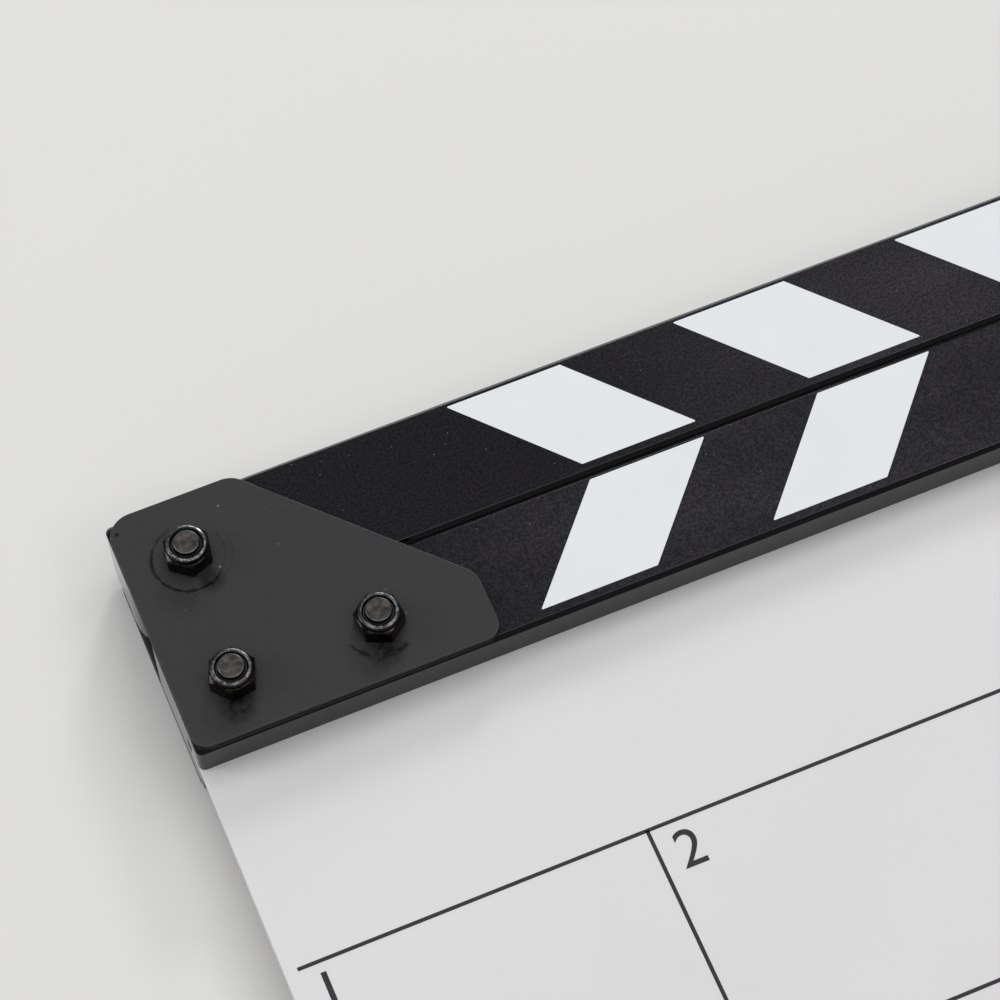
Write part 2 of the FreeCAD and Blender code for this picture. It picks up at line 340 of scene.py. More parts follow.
def round_edges(piece, width):
    """Round the piece's sharp edges."""
    edges = piece.modifiers.new("soft_edges", "BEVEL")
    edges.width = width
    edges.segments = EDGE_SEGMENTS
    edges.limit_method = "ANGLE"
    edges.angle_limit = SMOOTH_ANGLE
    keep_modified(piece)


def soften(piece, width=0.0):
    """Round the edges that are still sharp and shade the rest smooth, with flat faces left flat."""
    if width:
        round_edges(piece, width)
    piece.data.shade_smooth()
    piece.data.set_sharp_from_angle(angle=SMOOTH_ANGLE)
    normals = piece.modifiers.new("flat_faces", "WEIGHTED_NORMAL")
    normals.keep_sharp = True
    normals.weight = LARGE_FACE_WEIGHT


def paint(piece, choose):
    """Give each face the look that the rule picks."""
    looks = list(piece.data.materials)
    for face in piece.data.polygons:
        face.material_index = looks.index(choose(face))


# Looks

# Ranges of texture values: most of a noise lies in the middle one
FULL = (0, 1)
FADING = (1, 0)
MIDDLE = (0.3, 0.7)

# The Mix node's sockets for colours, which share their names with its other sockets
MIX_COLOURS = (6, 7)
MIX_RESULT = 2

# A factor that leaves the height out of an offset
IN_PLAN = (1, 1, 0)

# The faintly warm black of the plates' paint
COAT_TINT = (1.02, 0.96, 0.99)


class Look:
    """A material in the making: its shader, and helpers for textures laid out in metres."""

    def __init__(self, name, **settings):
        self.material = bpy.data.materials.new(name)
        self.material.use_nodes = True
        self.tree = self.material.node_tree
        self.shader = self.tree.nodes["Principled BSDF"]
        self.place = self.node("TexCoord").outputs["Object"]
        for socket, value in settings.items():
            self.set(socket.replace("_", " "), value)

    def set(self, socket, value):
        """Set or link one of the shader's sockets."""
        self.feed(self.shader.inputs[socket], value)

    def feed(self, socket, value):
        """Link a socket to another, or give it a constant."""
        if isinstance(value, bpy.types.NodeSocket):
            self.tree.links.new(value, socket)
        else:
            socket.default_value = value

    def node(self, kind, inputs=(), **settings):
        """A new node with these settings, its inputs fed by name or number."""
        made = self.tree.nodes.new(f"ShaderNode{kind}")
        for setting, value in settings.items():
            setattr(made, setting, value)
        for socket, value in dict(inputs).items():
            self.feed(made.inputs[socket], value)
        return made

    def calculate(self, operation, first, second=0.0):
        """Arithmetic on two values."""
        return self.node("Math", {0: first, 1: second}, operation=operation).outputs[0]

    def times(self, first, second):
        """The product of two values."""
        return self.calculate("MULTIPLY", first, second)

    def vector(self, operation, *vectors):
        """A node of arithmetic on vectors."""
        return self.node("VectorMath", dict(enumerate(vectors)), operation=operation)

    def mapped(self, place, **change):
        """Coordinates with a change of Rotation or Scale."""
        return self.node("Mapping", {"Vector": place, **change}).outputs["Vector"]

    def noise(self, size, detail=3.0, place=None):
        """Soft blotches about this large."""
        inputs = {"Vector": place or self.place, "Scale": 1 / size, "Detail": detail}
        return self.node("TexNoise", inputs).outputs["Fac"]

    def specks(self, spacing, size_share, share, strength=1.0):
        """Small dots: a share of the cells of this spacing hold one each."""
        cells = self.node("TexVoronoi", {"Vector": self.place, "Scale": 1 / spacing})
        dots = self.span(cells.outputs["Distance"], within=(size_share / 2, size_share), onto=(strength, 0))
        chance = self.node("SeparateColor", {"Color": cells.outputs["Color"]}).outputs["Red"]
        chosen = self.calculate("GREATER_THAN", chance, 1 - share)
        return self.times(dots, chosen)

    def scratches(self, length, width, share, turn, strength):
        """Thin straight marks of this length, turned about the upright axis."""
        along = self.mapped(self.place, Rotation=(0, 0, turn))
        drawn = self.mapped(along, Scale=(1 / length, 1 / width, 1 / length))
        marks = self.noise(size=1.0, detail=1.0, place=drawn)
        return self.span(marks, within=(1 - share, 1 - share / 2), onto=(0, strength))

    def span(self, value, within=MIDDLE, onto=FULL):
        """Map one range of values on another."""
        low, high = within
        to_low, to_high = onto
        inputs = {"Value": value, "From Min": low, "From Max": high, "To Min": to_low, "To Max": to_high}
        return self.node("MapRange", inputs).outputs["Result"]

    def mix(self, share, first, second):
        """Blend two colours."""
        made = self.node("Mix", data_type="RGBA")
        self.feed(made.inputs["Factor"], share)
        for number, colour in zip(MIX_COLOURS, (first, second)):
            self.feed(made.inputs[number], colour)
        return made.outputs[MIX_RESULT]

    def bump(self, height, depth, strength):
        """Raise the surface by a height texture."""
        inputs = {"Height": height, "Distance": depth, "Strength": strength}
        self.set("Normal", self.node("Bump", inputs).outputs["Normal"])


def tinted(level, tint):
    """A colour that is a level of a tint."""
    return (*(level * part for part in tint), 1.0)


def grey(level, blue=1.0):
    """A grey, cooler where blue is above one."""
    return tinted(level, (1, 1, blue))


def coat(level):
    """A shade of the plates' paint."""
    return tinted(level, COAT_TINT)


# Colours: a pair is the darker and the lighter shade that a texture mixes
CLEAN_PRINTS = ((0.0008, 0.0006, 0.0010, 1), (0.0105, 0.0088, 0.0125, 1))
# Tints of the painted sheen on the sticks' printed fronts
SHEEN_TINTS = ((0.50, 0.46, 0.60), (1.50, 1.38, 1.77))
PRINT_DUST = grey(0.25)
POLISHED_BLACKS = (grey(0.0006), grey(0.0018, blue=1.2))
POLISHED_SHEEN = (0.95, 0.93, 1.0, 1.0)
STRIPE_WHITES = ((0.82, 0.848, 0.875, 1), (0.85, 0.878, 0.905, 1))
STRIPE_SPECK = grey(0.45)
BOARD_WHITES = ((0.775, 0.765, 0.77, 1), (0.795, 0.785, 0.79, 1))
BOARD_SPECK = grey(0.5)
INK_BLACKS = (grey(0.006), grey(0.014))
COAT_BLACKS = (coat(0.022), coat(0.032))
CLOUDED_COAT = coat(0.036)
SCUFFED_COAT = coat(0.05)
# Darkened coat for spanner rubbing and for the painted shadows below the nuts
RUBBED_AND_SHADED_COAT = grey(0.002)
COAT_DUST = grey(0.3)
NYLON_BLACKS = (grey(0.012), grey(0.026, blue=1.1))
FLOOR_COLOURS = ((0.80, 0.795, 0.785, 1), (0.84, 0.835, 0.825, 1))

# Optical values and shares of the looks
INK_IOR = 1.46
ACRYLIC_IOR = 1.49
COAT_IOR = 1.5
COAT_SHINE = 0.28
RUBBED_AND_SHADED_SHINE_LOSS = 0.2
ROUGHNESS_SPREAD = 0.1
EDGE_COAT_DARK_SHARE = 0.7
EDGE_COAT_LIGHT_SHARE = 1.3
RING_LEAST_WIDTH_SHARE = 0.2
SPOT_CORE_SHARE = 0.3


def printed_black(name, hinge_end, painted_sheen):
    """Matt black front of a stick: the print's grain and dust, and a painted sheen, lighter towards the
    free end and broken up by noise.
    """
    start, full, least, level = painted_sheen
    look = Look(name, IOR=INK_IOR, Specular_IOR_Level=0.12)
    grain = look.span(look.noise(size=0.0006), within=(0.38, 0.64))
    rubbing = look.noise(size=0.016, detail=4.0, place=look.mapped(look.place, Scale=(0.45, 1.0, 1.0)))
    dust = look.specks(spacing=0.0016, size_share=0.12, share=0.10, strength=0.5)
    along = look.node("SeparateXYZ", {"Vector": look.place}).outputs["X"]
    # Painted sheen: a lighter, purplish tone that grows from the hinge end towards the free end
    spread = look.span(along, within=(hinge_end + start, hinge_end + full), onto=(least, 1))
    sheen_share = look.times(spread, look.span(rubbing, within=(0.35, 0.65), onto=(0.5, 1)))
    clean = look.mix(grain, *CLEAN_PRINTS)
    sheened_print = look.mix(grain, *(tinted(level, tint) for tint in SHEEN_TINTS))
    look.set("Base Color", look.mix(dust, look.mix(sheen_share, clean, sheened_print), PRINT_DUST))
    look.set("Roughness", look.span(rubbing, within=(0.3, 0.75), onto=(0.38, 0.48)))
    look.bump(grain, depth=0.00003, strength=0.7)
    return look.material


def polished_black():
    """Flame-polished acrylic of the sticks' sides, a little wavy, with hairline marks."""
    look = Look("polished_black", IOR=ACRYLIC_IOR, Specular_IOR_Level=0.46, Specular_Tint=POLISHED_SHEEN)
    wave = look.noise(size=0.012, detail=1.0)
    marks = look.scratches(length=0.03, width=0.00025, share=0.5, turn=0.04, strength=0.06)
    look.set("Base Color", look.mix(wave, *POLISHED_BLACKS))
    look.set("Roughness", look.calculate("ADD", look.span(wave, onto=(0.05, 0.09)), marks))
    look.bump(wave, depth=0.00012, strength=0.25)
    return look.material


def stripe_white():
    """White ink of the stripes, slightly uneven."""
    look = Look("stripe_white", IOR=INK_IOR, Specular_IOR_Level=0.35)
    cloud = look.noise(size=0.011)
    grain = look.noise(size=0.0005, detail=2.0)
    specks = look.specks(spacing=0.004, size_share=0.05, share=0.12)
    base = look.mix(look.span(cloud), *STRIPE_WHITES)
    look.set("Base Color", look.mix(specks, base, STRIPE_SPECK))
    look.set("Roughness", look.span(cloud, onto=(0.42, 0.52)))
    look.bump(grain, depth=0.00001, strength=0.5)
    return look.material


def milky_acrylic():
    """White acrylic of the board, with a satin face that has been wiped many times."""
    look = Look("milky_acrylic", IOR=ACRYLIC_IOR, Subsurface_Weight=0.12, Subsurface_Scale=0.002)
    look.set("Subsurface Radius", (1.0, 0.95, 0.9))
    cloud = look.noise(size=0.05, detail=2.0)
    wiping = look.noise(size=0.02, detail=4.0, place=look.mapped(look.place, Scale=(0.2, 1.0, 1.0)))
    specks = look.specks(spacing=0.009, size_share=0.03, share=0.25)
    base = look.mix(look.span(cloud), *BOARD_WHITES)
    look.set("Base Color", look.mix(specks, base, BOARD_SPECK))
    look.set("Roughness", look.span(wiping, onto=(0.30, 0.40)))
    look.bump(wiping, depth=0.00002, strength=0.3)
    return look.material


def rule_ink():
    """Black ink of the ruled lines and the numbers."""
    look = Look("rule_ink", IOR=INK_IOR)
    grain = look.noise(size=0.0006)
    look.set("Base Color", look.mix(grain, *INK_BLACKS))
    look.set("Roughness", look.span(grain, onto=(0.4, 0.55)))
    return look.material


def away_from(look, place):
    """The flat offset from a place, and its length."""
    offset = look.vector("SUBTRACT", look.place, place).outputs["Vector"]
    flat = look.vector("MULTIPLY", offset, IN_PLAN).outputs["Vector"]
    return flat, look.vector("LENGTH", flat).outputs["Value"]


def ring_mark(look, place, radius, width, facing, spread):
    """An uneven ring that a spanner rubbed into the paint, round one side of a nut as far as the spread."""
    flat, distance = away_from(look, place)
    off_ring = look.calculate("ABSOLUTE", look.calculate("SUBTRACT", distance, radius))
    least_width = width * RING_LEAST_WIDTH_SHARE
    reach = look.span(look.noise(size=0.0016), within=(0.36, 0.66), onto=(least_width, width))
    line = look.span(off_ring, within=(0.0, reach), onto=FADING)
    heading = look.vector("NORMALIZE", flat).outputs["Vector"]
    along = look.vector("DOT_PRODUCT", heading, facing).outputs["Value"]
    limit = math.cos(spread)
    return look.times(line, look.span(along, within=(limit, (limit + 1) / 2)))


def spot_mark(look, place, radius):
    """A blotchy round mask about this large, for painted shadows, a smudge or a fleck."""
    distance = away_from(look, place)[1]
    soft = look.span(distance, within=(radius * SPOT_CORE_SHARE, radius), onto=FADING)
    return look.times(soft, look.span(look.noise(size=0.0018), within=(0.35, 0.6), onto=(0.45, 1)))


def powder_coat(name, rings=(), shadows_and_smudges=(), flecks=()):
    """Matt black coat on the faces of a plate: fine grain, scuffs, dust, the marks of spanner work, and
    painted shadows below the nuts.
    """
    look = Look(name, IOR=COAT_IOR, Specular_IOR_Level=COAT_SHINE)
    grain = look.noise(size=0.0005, detail=2.0)
    cloud = look.noise(size=0.012)
    scuffs = look.scratches(length=0.004, width=0.00012, share=0.52, turn=0.9, strength=0.25)
    dust = look.specks(spacing=0.0035, size_share=0.05, share=0.12, strength=0.6)
    base = look.mix(look.span(grain), *COAT_BLACKS)
    base = look.mix(look.span(cloud, within=(0.35, 0.7), onto=(0, 0.35)), base, CLOUDED_COAT)
    base = look.mix(scuffs, base, SCUFFED_COAT)
    base = look.mix(dust, base, COAT_DUST)
    for strength, *fleck in flecks:
        base = look.mix(look.times(spot_mark(look, *fleck), strength), base, COAT_DUST)
    marks = [(strength, ring_mark(look, *mark)) for strength, *mark in rings]
    # Painted shadows below the nuts, partly dirt, darken the coat and dull its shine
    marks += [(strength, spot_mark(look, *mark)) for strength, *mark in shadows_and_smudges]
    shine = COAT_SHINE
    for strength, mask in marks:
        share = look.times(mask, strength)
        base = look.mix(share, base, RUBBED_AND_SHADED_COAT)
        shine = look.calculate("SUBTRACT", shine, look.times(share, RUBBED_AND_SHADED_SHINE_LOSS))
    look.set("Base Color", base)
    look.set("Specular IOR Level", shine)
    look.set("Roughness", look.span(cloud, onto=(0.5, 0.58)))
    look.bump(grain, depth=0.00004, strength=0.5)
    return look.material


def edge_coat(name, level, roughness, shine):
    """The same coat on the rims of the plates, where it lies thinner and smoother, and on their upright
    sides, darkened there as painted shade.
    """
    look = Look(name, IOR=COAT_IOR, Specular_IOR_Level=shine)
    cloud = look.noise(size=0.006)
    dark = coat(level * EDGE_COAT_DARK_SHARE)
    light = coat(level * EDGE_COAT_LIGHT_SHARE)
    look.set("Base Color", look.mix(look.span(cloud), dark, light))
    look.set("Roughness", look.span(cloud, onto=(roughness, roughness + ROUGHNESS_SPREAD)))
    return look.material


def black_oxide(name, level, roughness, warmth=1.0, spread=0.25):
    """Oiled black steel: a dark mirror with drier patches, fine dents and a breath of brown."""
    look = Look(name, Metallic=1.0)
    cloud = look.noise(size=0.0016)
    nicks = look.noise(size=0.0006, detail=2.0)
    tint = (1, 1 / warmth, 1 / warmth ** 2)
    dark = tinted(level * (1 - spread), tint)
    light = tinted(level * (1 + spread), tint)
    look.set("Base Color", look.mix(look.span(cloud, within=(0.32, 0.68)), dark, light))
    look.set("Roughness", look.span(nicks, onto=(roughness, roughness + ROUGHNESS_SPREAD)))
    look.bump(nicks, depth=0.00002, strength=0.4)
    return look.material


def worn_rim(name, nick, depth, dark, light):
    """Steel that shows through on a nut's rim where the spanner and the years rubbed it."""
    look = Look(name, Metallic=1.0)
    nicks = look.noise(size=nick)
    look.set("Base Color", look.mix(look.span(nicks, within=(0.42, 0.62)), grey(dark), grey(light)))
    look.set("Roughness", look.span(nicks, within=(0.35, 0.65), onto=(0.36, 0.20)))
    look.bump(nicks, depth=depth, strength=0.6)
    return look.material


def nylon():
    """Moulded nylon of the locking rings."""
    look = Look("nylon_black", IOR=1.53)
    cloud = look.noise(size=0.0008)
    look.set("Base Color", look.mix(cloud, *NYLON_BLACKS))
    look.set("Roughness", look.span(cloud, onto=(0.4, 0.55)))
    look.bump(cloud, depth=0.00002, strength=0.4)
    return look.material


def pale_floor():
    """Plain pale floor, faintly clouded."""
    look = Look("pale_floor", Roughness=0.7, IOR=1.4, Specular_IOR_Level=0.2)
    look.set("Base Color", look.mix(look.noise(size=0.4, detail=2.0), *FLOOR_COLOURS))
    return look.material


# Places that the frame gives

lower_low, lower_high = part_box("lower_stick")
upper_low, upper_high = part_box("upper_stick")
board_low, board_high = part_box("writing_board")
FIXINGS = ("pivot", "left", "right")
BOLT_NODES = {"pivot": "pivot_bolt", "left": "left_fixing_bolt", "right": "right_fixing_bolt"}
NUT_NODES = {"pivot": "pivot_nut", "left": "left_fixing_nut", "right": "right_fixing_nut"}
INSERT_NODES = {"pivot": "pivot_nut_insert", "left": "left_nut_insert", "right": "right_nut_insert"}
bolt_boxes = {name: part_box(BOLT_NODES[name]) for name in FIXINGS}
nut_boxes = {name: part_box(NUT_NODES[name]) for name in FIXINGS}


def bolt_place(name, height=0.0):
    """A point on a bolt's axis."""
    low, high = bolt_boxes[name]
    return Vector(((low.x + high.x) / 2, (low.y + high.y) / 2, height))


def beside(name, along=0.0, across=0.0):
    """A place on the front plate, measured from a bolt's axis along the stick and across it."""
    return bolt_place(name) + Vector((along, across, 0))


head_radius = (bolt_boxes["pivot"][1].x - bolt_boxes["pivot"][0].x) / 2
bolt_length = bolt_boxes["pivot"][1].z
tip_foot = bolt_length - BOLT_TIP_BEVEL
thread_start = tip_foot - THREAD_LENGTH
thread_core = BOLT_RADIUS - THREAD_DEPTH
nut_seat = nut_boxes["pivot"][0].z
nut_height = nut_boxes["pivot"][1].z - nut_seat


# Wear, painted sheen, painted shadows and looks of this slate

# Painted sheen on a stick, a lighter tone away from the hinge end: where it starts and is full, from the
# hinge end, its least share and its level of grey
LOWER_PAINTED_SHEEN = (0.06, 0.11, 0.42, 0.025)
UPPER_PAINTED_SHEEN = (0.10, 0.17, 0.12, 0.029)

# Rings on the front plate: strength, middle, radius, width, the way they face, and spread to each side
SPANNER_RINGS = (
    (0.95, beside("pivot", -0.0003, -0.0006), 0.0082, 0.0009, (-0.85, -0.53, 0), math.radians(118)),
    (0.25, beside("pivot", 0.0002, -0.0002), 0.0078, 0.0006, (0.96, -0.28, 0), math.radians(55)),
    (0.20, beside("pivot", 0.0002, -0.0002), 0.0095, 0.0004, (0.96, -0.28, 0), math.radians(45)),
    (0.85, beside("right"), 0.0083, 0.0014, (-0.80, -0.60, 0), math.radians(20)),
    (0.85, beside("right"), 0.0081, 0.0014, (0.30, -0.95, 0), math.radians(13)),
)

# Painted shadows below the three nuts, partly dirt, one small dark smudge, and pale flecks on the front
# plate: strength, middle and radius
SHADOWS_AND_SMUDGES = (
    (0.80, beside("pivot", 0.0026, -0.0078), 0.0036),
    (0.90, beside("left", -0.0014, -0.0066), 0.0052),
    (0.90, beside("right", -0.0014, -0.0068), 0.0050),
    (0.95, beside("pivot", -0.01295, 0.01095), 0.0007),
)
FLECKS = (
    (0.70, beside("pivot", 0.00535, -0.00545), 0.0004),
    (0.70, beside("pivot", 0.01025, 0.00895), 0.0004),
    (0.60, beside("right", 0.0061, -0.0002), 0.0003),
)

stick_faces = {
    "lower_stick": printed_black("printed_black_lower", lower_low.x, LOWER_PAINTED_SHEEN),
    "upper_stick": printed_black("printed_black_upper", upper_low.x, UPPER_PAINTED_SHEEN),
}
stick_side = polished_black()
stripe_ink = stripe_white()
board_white = milky_acrylic()
line_ink = rule_ink()
plate_faces = {
    "front_hinge_plate": powder_coat("powder_coat_front", SPANNER_RINGS, SHADOWS_AND_SMUDGES, FLECKS),
    "rear_hinge_plate": powder_coat("powder_coat_rear"),
}
plate_rim = edge_coat("powder_coat_rim", level=0.022, roughness=0.22, shine=0.5)
# The plates' upright sides get a dark, dull level of the coat: painted shade
shaded_plate_side = edge_coat("powder_coat_side_painted_shade", level=0.010, roughness=0.6, shine=0.1)
nut_steel = black_oxide("black_oxide_nut", level=0.009, roughness=0.18)
collar_steel = black_oxide("black_oxide_collar", level=0.04, roughness=0.22, warmth=1.06)
dull_steel = black_oxide("black_oxide_dull", level=0.02, roughness=0.35)
nut_bevel = black_oxide("black_oxide_bevel", level=0.027, roughness=0.13, warmth=1.08, spread=0.8)
nut_rims = {
    "pivot": worn_rim("worn_rim_nicked", nick=0.0007, depth=0.00004, dark=0.07, light=0.24),
    "left": worn_rim("worn_rim", nick=0.0011, depth=0.00003, dark=0.045, light=0.18),
}
nut_rims["right"] = nut_rims["left"]
bolt_end = black_oxide("black_oxide_bolt_end", level=0.06, roughness=0.36, warmth=1.08, spread=0.5)
# Lighter steel on the bevel ring round each bolt end: a painted highlight
painted_bolt_rim_highlight = black_oxide("black_oxide_bolt_rim_painted_highlight", level=0.10, roughness=0.30)
insert_nylon = nylon()


# Sticks, stripes and board

def bolt_hole(name, low, high, bore_clearance):
    """The hole for one bolt, with the cone of its head, between two heights."""
    bore = BOLT_RADIUS + bore_clearance
    seat = head_radius + HEAD_SEAT_CLEARANCE
    cone_end = HEAD_LAND + seat - bore
    profile = [(seat, -CUT_OVERRUN), (seat, HEAD_LAND), (bore, cone_end), (bore, high + CUT_OVERRUN)]
    if low > cone_end:
        profile = [(bore, low - CUT_OVERRUN), (bore, high + CUT_OVERRUN)]
    hole = turned(profile)
    bmesh.ops.translate(hole, verts=hole.verts, vec=bolt_place(name))
    return hole


def make_stick(node, radii, low, high, holes):
    """One bar of the clapper, bevelled along its rims, drilled, with a printed front and polished sides."""
    shape = bevel_rims(prism(rounded(rectangle(low, high), radii), low.z, high.z), STICK_BEVEL)
    piece = stand_for(node, shape, [stick_faces[node], stick_side])
    round_edges(piece, STICK_EDGE)
    cut_away(piece, holes)
    soften(piece, CUT_EDGE)

    def choose(face):
        is_front = face.normal.z > FLAT and face.center.z > high.z - STICK_EDGE
        return stick_faces[node] if is_front else stick_side

    paint(piece, choose)


def make_sticks():
    """The fixed bar with its slot for the board, and the swinging bar with its round corner."""
    slot_low = Vector((lower_low.x - SLOT_DEPTH, lower_low.y - SLOT_DEPTH))
    slot_high = Vector((lower_high.x + SLOT_DEPTH, lower_low.y + SLOT_DEPTH))
    slot_outline = rectangle(slot_low, slot_high)
    slot = prism(slot_outline, board_low.z - SLOT_CLEARANCE, board_high.z + SLOT_CLEARANCE)
    holes = [bolt_hole(name, lower_low.z, lower_high.z, BOLT_HOLE_CLEARANCE) for name in ("left", "right")]
    make_stick("lower_stick", [STICK_CORNER] * 4, lower_low, lower_high, [slot] + holes)
    swing_radius = (upper_high.y - upper_low.y) / 2
    pivot_hole = bolt_hole("pivot", upper_low.z, upper_high.z, PIVOT_HOLE_CLEARANCE)
    make_stick("upper_stick", [swing_radius] + [STICK_CORNER] * 3, upper_low, upper_high, [pivot_hole])


def make_stripes(stick_name, low, high, clapping_side, direction, body):
    """The slanted white stripes printed along one stick, leaning back towards the hinge."""
    far_side = clapping_side + direction * STRIPE_HEIGHT
    limit = high.x - STICK_BEVEL - STRIPE_CORNER
    for index in range(STRIPE_COUNT):
        start = low.x + STRIPE_START + index * STRIPE_PITCH
        end = start + STRIPE_WIDTH
        corners = [
            (start, clapping_side),
            (min(end, limit), clapping_side),
            (end - STRIPE_SLANT, far_side),
            (start - STRIPE_SLANT, far_side),
        ]
        # On the lower stick the corners come out clockwise
        if direction < 0:
            corners.reverse()
        outline = rounded(corners, [STRIPE_CORNER] * len(corners))
        shape = prism(outline, high.z - PRINT_SINK, high.z + PRINT_HEIGHT)
        add_piece(f"{stick_name}_stripe_{index + 1}", shape, [stripe_ink], body)


def make_board():
    """The writing board, held by its top edge in the lower stick."""
    radii = (BOARD_CORNER, BOARD_CORNER, 0, 0)
    shape = prism(rounded(rectangle(board_low, board_high), radii), board_low.z, board_high.z)
    piece = stand_for("writing_board", bevel_rims(shape, BOARD_EDGE, RIM_SEGMENTS), [board_white])
    soften(piece)


def rule(shape, low, high):
    """Add one printed line to a shape."""
    line = prism(rectangle(low, high), board_high.z - PRINT_SINK, board_high.z + PRINT_HEIGHT)
    add_mesh(shape, as_mesh("line", line))


def number_mesh(text):
    """A number as a thin mesh with its foot on the origin, in the plain built-in letters."""
    curve = bpy.data.curves.new("number", "FONT")
    curve.body = text
    curve.extrude = (PRINT_HEIGHT + PRINT_SINK) / 2
    holder = add_object("number", curve)
    mesh = modified_mesh(holder)
    bpy.data.objects.remove(holder)
    height = max(corner.co.y for corner in mesh.vertices)
    left = min(corner.co.x for corner in mesh.vertices)
    scale = NUMBER_HEIGHT / height
    for corner in mesh.vertices:
        corner.co.x = (corner.co.x - left) * scale
        corner.co.y *= scale
    return mesh


def make_print():
    """The ruled fields of the board, all but the top one with a plain number in the upper left corner."""
    lines = bmesh.new()
    numbers = bmesh.new()
    left = board_low.x + RULE_MARGIN
    right = board_high.x - RULE_MARGIN
    bottom = board_low.y + RULE_MARGIN
    middle = board_high.z + (PRINT_HEIGHT - PRINT_SINK) / 2
    half = RULE_WIDTH / 2
    columns = [board_low.x + FIRST_COLUMN]
    columns.append((columns[0] + right) / 2)
    tops = [lower_low.y]
    for row_height in ROW_HEIGHTS:
        tops.append(tops[-1] - row_height)
    for top in tops[1:]:
        rule(lines, Vector((left, top - half)), Vector((right, top + half)))
    # The row under the top one has two dividers, and the last row has one
    split_rows = {1: columns, len(ROW_HEIGHTS): [(left + right) / 2]}
    number = FIRST_NUMBER
    for row, top in enumerate(tops):
        foot = tops[row + 1] if row + 1 < len(tops) else bottom
        dividers = split_rows.get(row, [])
        for divider in dividers:
            rule(lines, Vector((divider - half, foot)), Vector((divider + half, top)))
        for field in ([left] + dividers if row else []):
            mesh = number_mesh(str(number))
            place = Vector((field + NUMBER_INDENT, top - NUMBER_DROP - NUMBER_HEIGHT, middle))
            mesh.transform(Matrix.Translation(place))
            add_mesh(numbers, mesh)
            number += 1
    add_piece("board_rules", lines, [line_ink], "slate")
    add_piece("board_numbers", numbers, [line_ink], "slate")


# Hinge plates and fasteners

def make_plate(node):
    """One hinge plate: five-sided, with round corners, soft rims and its bolt holes."""
    low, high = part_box(node)
    corners = [
        (low.x, low.y),
        (high.x, low.y),
        (high.x, low.y + PLATE_END_HEIGHT),
        (low.x + PLATE_TOP_LENGTH, high.y),
        (low.x, high.y),
    ]
    radii = [PLATE_FOOT_CORNER] * 2 + [PLATE_CORNER] * 3
    shape = bevel_rims(prism(rounded(corners, radii), low.z, high.z), PLATE_EDGE, RIM_SEGMENTS)
    piece = stand_for(node, shape, [plate_faces[node], plate_rim, shaded_plate_side])
    cut_away(piece, [bolt_hole(name, low.z, high.z, BOLT_HOLE_CLEARANCE) for name in FIXINGS])
    soften(piece)

    def choose(face):
        if abs(face.normal.z) > FLAT:
            return plate_faces[node]
        # Upright sides take the painted shade, bevelled rims the smoother coat
        return shaded_plate_side if abs(face.normal.z) < STEEP else plate_rim

    paint(piece, choose)


def bevelled(level, direction, share, slope):
    """The curved edge where a nut's flats meet a turned bevel, as a step of a turned profile."""
    face_radius = NUT_FLATS / 2 * share

    def point(angle):
        reach = hexagon_reach(NUT_FLATS, angle)
        return reach, level + direction * max(0.0, reach - face_radius) * math.tan(slope)

    return point


def nut_profile():
    """A lock nut's section: bevelled hexagon, collar with a sloped crown, lip rolled over the insert."""
    lip_top = nut_height - LIP_DROP
    insert_top = lip_top - LIP_THICKNESS
    insert_foot = insert_top - INSERT_HEIGHT
    bend_middle = COLLAR_RADIUS - SHOULDER_RADIUS
    outside = roll(bend_middle, 0, SHOULDER_RADIUS, SHOULDER_RADIUS, 0, QUARTER_TURN - CROWN_SLOPE)
    crown_edge, crown_rise = outside[-1]
    shoulder = nut_height - crown_rise - (crown_edge - CROWN_RADIUS) * math.tan(CROWN_SLOPE)
    inside = roll(CROWN_RADIUS, lip_top, CROWN_RADIUS - LIP_RADIUS, LIP_DROP, QUARTER_TURN, math.pi)
    return [
        (NUT_BORE_RADIUS + NUT_BORE_BEVEL, 0),
        (NUT_FLATS / 2 * NUT_FOOT_SHARE, 0),
        bevelled(0, 1, NUT_FOOT_SHARE, NUT_FOOT_BEVEL),
        bevelled(NUT_HEX_HEIGHT, -1, NUT_FACE_SHARE, NUT_BEVEL),
        (NUT_FLATS / 2 * NUT_FACE_SHARE, NUT_HEX_HEIGHT),
        (COLLAR_RADIUS, NUT_HEX_HEIGHT),
        *((radius, shoulder + rise) for radius, rise in outside),
        *inside,
        (LIP_RADIUS, insert_top),
        (INSERT_RADIUS, insert_top),
        (INSERT_RADIUS, insert_foot),
        (NUT_BORE_RADIUS, insert_foot),
        (NUT_BORE_RADIUS, NUT_BORE_BEVEL),
    ]


def make_nut(name):
    """A lock nut, turned as it was left when tightened, with a worn rim."""
    shape = turned(nut_profile(), closed=True)
    turn = Matrix.Translation(bolt_place(name, nut_seat)) @ Matrix.Rotation(NUT_TURNS[name], 4, "Z")
    bmesh.ops.transform(shape, matrix=turn, verts=shape.verts)
    looks = [nut_steel, collar_steel, nut_rims[name], dull_steel, nut_bevel]
    piece = stand_for(NUT_NODES[name], shape, looks)
    soften(piece, NUT_EDGE)
    collar_foot = nut_seat + NUT_HEX_HEIGHT + COLLAR_FOOT_BAND
    worn_level = nut_seat + nut_height - CROWN_WORN_DEPTH
    axis = bolt_place(name)

    def choose(face):
        if face.center.z < collar_foot:
            return nut_bevel if face.normal.z > NUT_TOP else nut_steel
        if face.center.z < worn_level:
            return collar_steel
        return nut_rims[name] if (face.center - axis).xy.length > RIM_INSIDES[name] else dull_steel

    paint(piece, choose)


